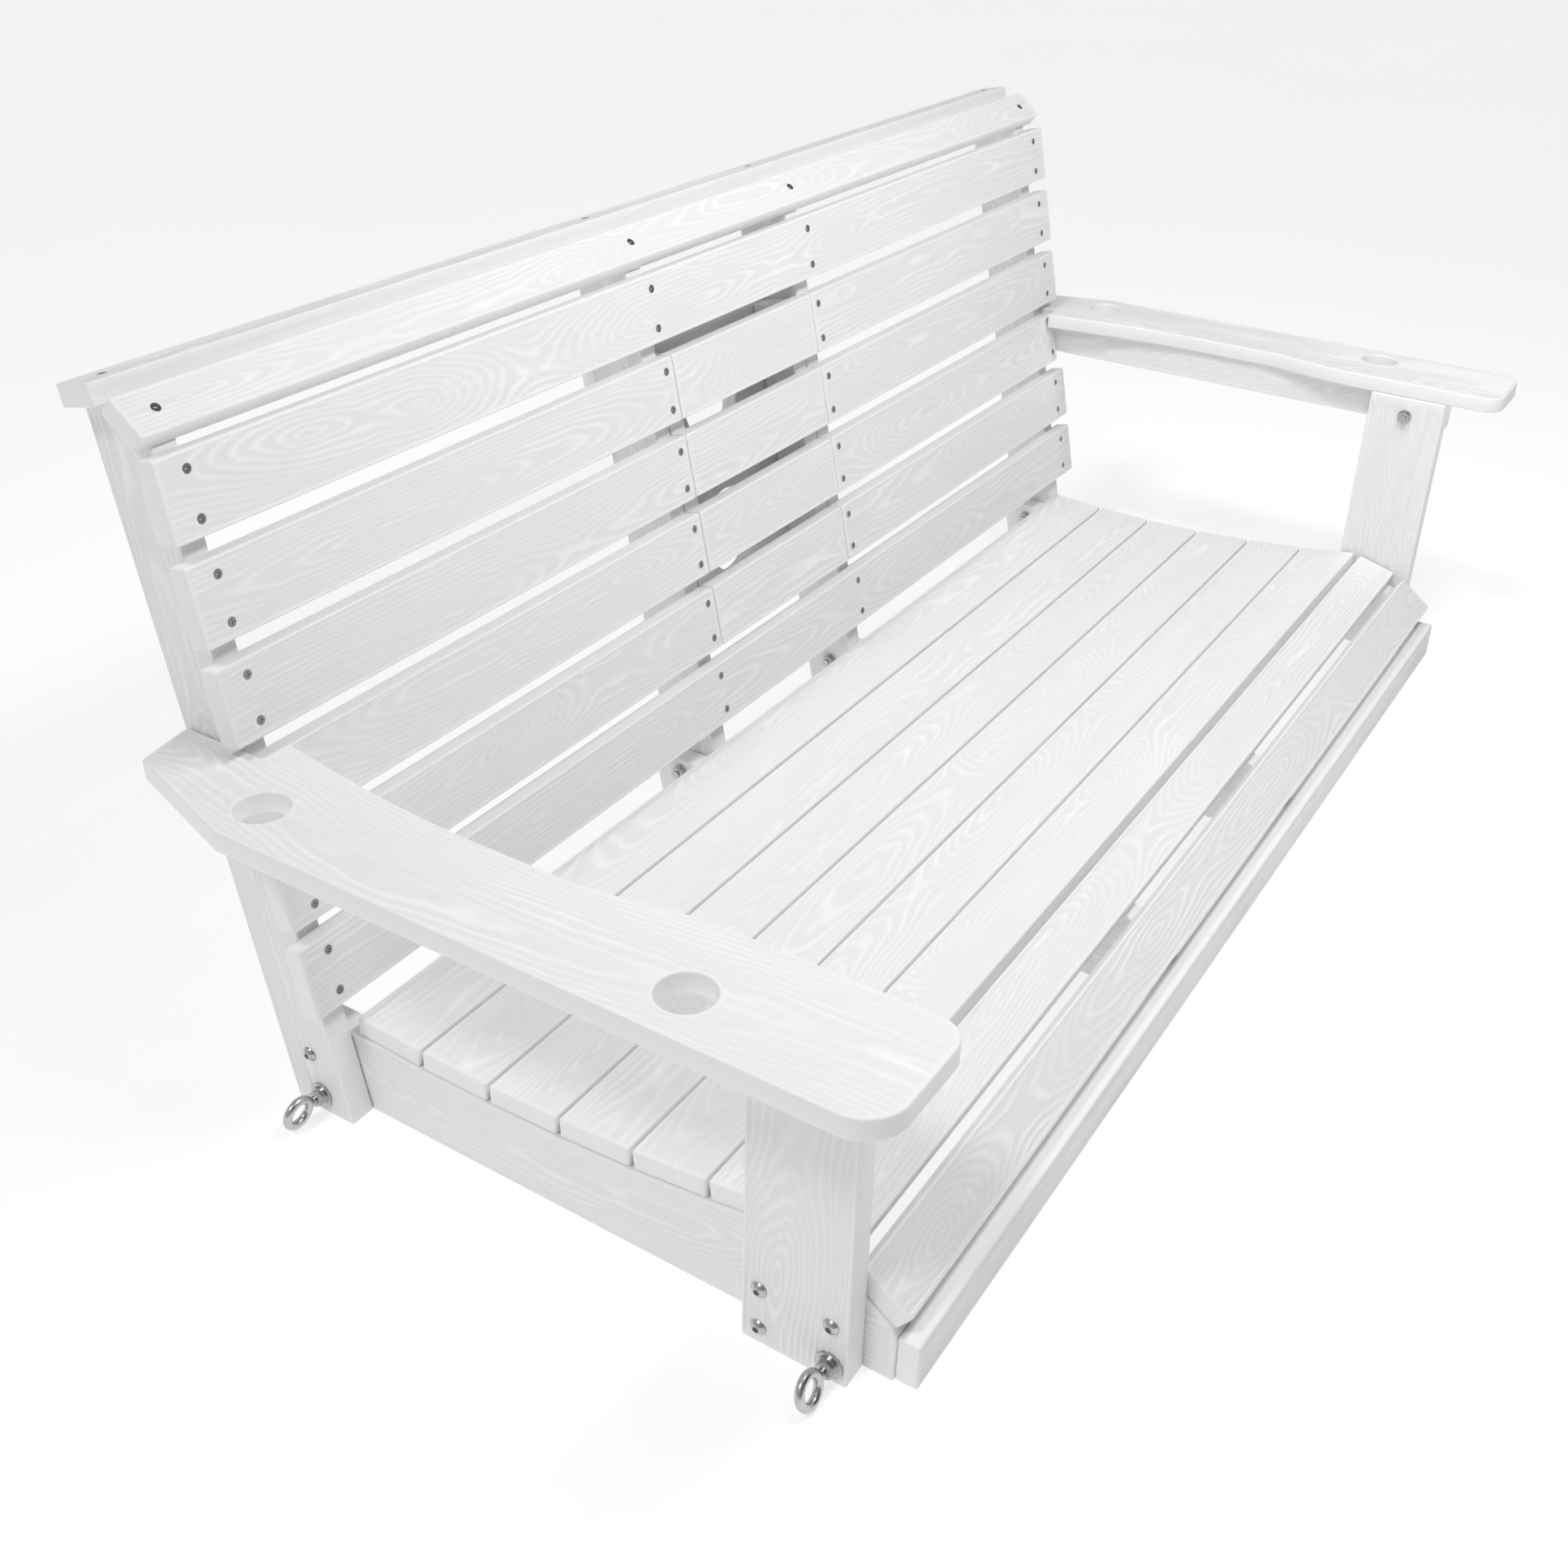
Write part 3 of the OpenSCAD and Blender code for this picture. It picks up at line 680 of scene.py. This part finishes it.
def pale_floor():
    """A matt floor with a glow of its own, so that it shows almost white."""
    s = Shader("studio_floor")
    place = s.node("TexCoord").outputs["Object"]
    tone = s.noise(s.stretched(place, (1.5, 1.5, 1.5)), 2.0)
    return s.surfaced(Base_Color=s.mix(tone, (0.52, 0.52, 0.52, 1), (0.54, 0.54, 0.54, 1)),
                      Roughness=0.9, Emission_Color=(1, 1, 1, 1), Emission_Strength=0.60)


PLASTIC = plastic()
STEEL = steel("stainless_steel", 0.44, 0.60)
SCREW_STEEL = steel("screw_steel", 0.22, 0.36)


# ---------- Which board faces where ----------

LEAN = main_normal(*welded(NODES["back_slat_1"]), -Y)
UP_POST = np.cross(LEAN, X)


def board_views():
    """For each board: its node, the side its show face is on, and its grain's direction."""
    for node in NODES:
        side = X if node.endswith("_right") else -X
        if node.startswith(("back_slat", "tray_slat", "headrest")):
            yield node, LEAN, X
        elif node.startswith(("seat_slat", "seat_nose", "seat_front", "crest")):
            yield node, Z, X
        elif node == "front_apron":
            yield node, -Y, X
        elif node == "tray_rest_rail":
            yield node, -LEAN, X
        elif node == "tray_cup_board":
            yield node, -LEAN, UP_POST
        elif node in ("arm_left", "arm_right"):
            yield node, Z, Y
        elif node.startswith(("side_rail", "mid_support", "arm_rail")):
            yield node, side, Y
        elif node.startswith("front_leg"):
            yield node, side, Z
        elif node.startswith(("rear_leg", "mid_post", "tray_batten")):
            yield node, side, UP_POST


def forged_eyes():
    """Rebuilds the eye bolts with a fillet where each ring meets its shank."""
    co, tri = welded(NODES["eye_bolts"])
    mesh = bpy.data.meshes.new("eye_bolts_forged")
    mesh.from_pydata(co.tolist(), [], tri.tolist())
    eyes = placed("eye_bolts_forged", mesh)
    remesh = eyes.modifiers.new("Remesh", "REMESH")
    remesh.mode = "VOXEL"
    remesh.voxel_size = EYE_VOXEL
    remesh.use_smooth_shade = True
    blend = eyes.modifiers.new("Fillet", "SMOOTH")
    blend.factor = 0.5
    blend.iterations = EYE_SMOOTHING
    evaluated = eyes.evaluated_get(bpy.context.evaluated_depsgraph_get())
    eyes.data = bpy.data.meshes.new_from_object(evaluated)
    eyes.modifiers.clear()
    eyes.data.materials.clear()
    eyes.data.materials.append(STEEL)
    stand_in(eyes, "eye_bolts")


def finish_steel():
    """Gives every fastener node that still shows its metal."""
    for name, obj in NODES.items():
        if obj.hide_render:
            continue
        obj.data.materials.clear()
        obj.data.materials.append(SCREW_STEEL if name.endswith("screws") else STEEL)


# ---------- Studio ----------

CAMERA_AT = (-1.5305, -0.7333, 1.0840)
AZIMUTH, DOWN, ROLL = (math.radians(angle) for angle in (58.011, 29.469, -1.368))
LENS, SENSOR = 40.148, 36.0
SHIFT = (0.00612, -0.05005)


def camera():
    """Sets up the camera: azimuth 0 looks along +Y, and more turns it towards +X."""
    forward = np.array([math.sin(AZIMUTH) * math.cos(DOWN), math.cos(AZIMUTH) * math.cos(DOWN),
                        -math.sin(DOWN)])
    level = np.array([math.cos(AZIMUTH), -math.sin(AZIMUTH), 0])
    below = np.cross(forward, level)
    right = math.cos(ROLL) * level + math.sin(ROLL) * below
    up = math.sin(ROLL) * level - math.cos(ROLL) * below
    data = bpy.data.cameras.new("camera")
    data.lens, data.sensor_width = LENS, SENSOR
    data.shift_x, data.shift_y = SHIFT
    made = placed("camera", data)
    turn = Matrix(np.column_stack([right, up, -forward]).tolist()).to_4x4()
    made.matrix_world = Matrix.Translation(CAMERA_AT) @ turn
    bpy.context.scene.camera = made


def aimed(name, data, at, towards):
    """A light at a place, pointing towards another."""
    made = placed(name, data)
    made.location = at
    made.rotation_euler = (Vector(towards) - Vector(at)).to_track_quat("-Z", "Y").to_euler()


def sun(name, at, strength, spread):
    """A distant light that shines from a direction, its disc spread over some degrees."""
    data = bpy.data.lights.new(name, "SUN")
    data.energy = strength
    data.angle = math.radians(spread)
    aimed(name, data, at, (0, 0, 0))


def striplight(name, at, towards, sizes, power):
    """A rectangular lamp of a given power in watts."""
    data = bpy.data.lights.new(name, "AREA")
    data.shape = "RECTANGLE"
    data.size, data.size_y = sizes
    data.energy = power
    aimed(name, data, at, towards)


def floor():
    """The studio's floor, far larger than the picture."""
    half = 30.0
    mesh = bpy.data.meshes.new("floor")
    corners = [(-half, -half, 0), (half, -half, 0), (half, half, 0), (-half, half, 0)]
    mesh.from_pydata(corners, [], [(0, 1, 2, 3)])
    mesh.materials.append(pale_floor())
    placed("floor", mesh)


# The room's light: its mean strength, and how it grows towards the back and the right
ROOM_LIGHT, TOWARDS_BACK, TOWARDS_RIGHT = 0.32, 0.22, -0.16


def light_room(tree):
    """A bright room, dimmer in front of the seat than behind, and dimmer on the right."""
    def times_plus(a, b, c):
        made = tree.nodes.new("ShaderNodeMath")
        made.operation = "MULTIPLY_ADD"
        for socket, value in zip(made.inputs, (a, b, c)):
            if isinstance(value, float):
                socket.default_value = value
            else:
                tree.links.new(value, socket)
        return made.outputs[0]

    direction = tree.nodes.new("ShaderNodeTexCoord").outputs["Generated"]
    split = tree.nodes.new("ShaderNodeSeparateXYZ")
    tree.links.new(direction, split.inputs[0])
    behind = times_plus(split.outputs[1], TOWARDS_BACK, ROOM_LIGHT)
    strength = times_plus(split.outputs[0], TOWARDS_RIGHT, behind)
    backdrop = tree.nodes["Background"]
    backdrop.inputs["Color"].default_value = (0.98, 0.99, 1.0, 1)
    tree.links.new(strength, backdrop.inputs["Strength"])


def studio():
    """The floor, the room's light, a window to the left and a strip over the back."""
    floor()
    world = bpy.data.worlds.new("studio")
    world.use_nodes = True
    light_room(world.node_tree)
    bpy.context.scene.world = world
    sun("window", at=(-1.5, 0.4, 2.4), strength=0.77, spread=10)
    striplight("strip", at=(0, -0.6, 1.55), towards=(0, 0.15, 0.25), sizes=(1.8, 0.25), power=17)
    bpy.context.scene.view_settings.view_transform = "Standard"


def main():
    """Builds the boards and the eye bolts, then the studio around them."""
    for node, hint, along in board_views():
        make_board(node, hint, along)
    forged_eyes()
    finish_steel()
    studio()
    camera()


main()
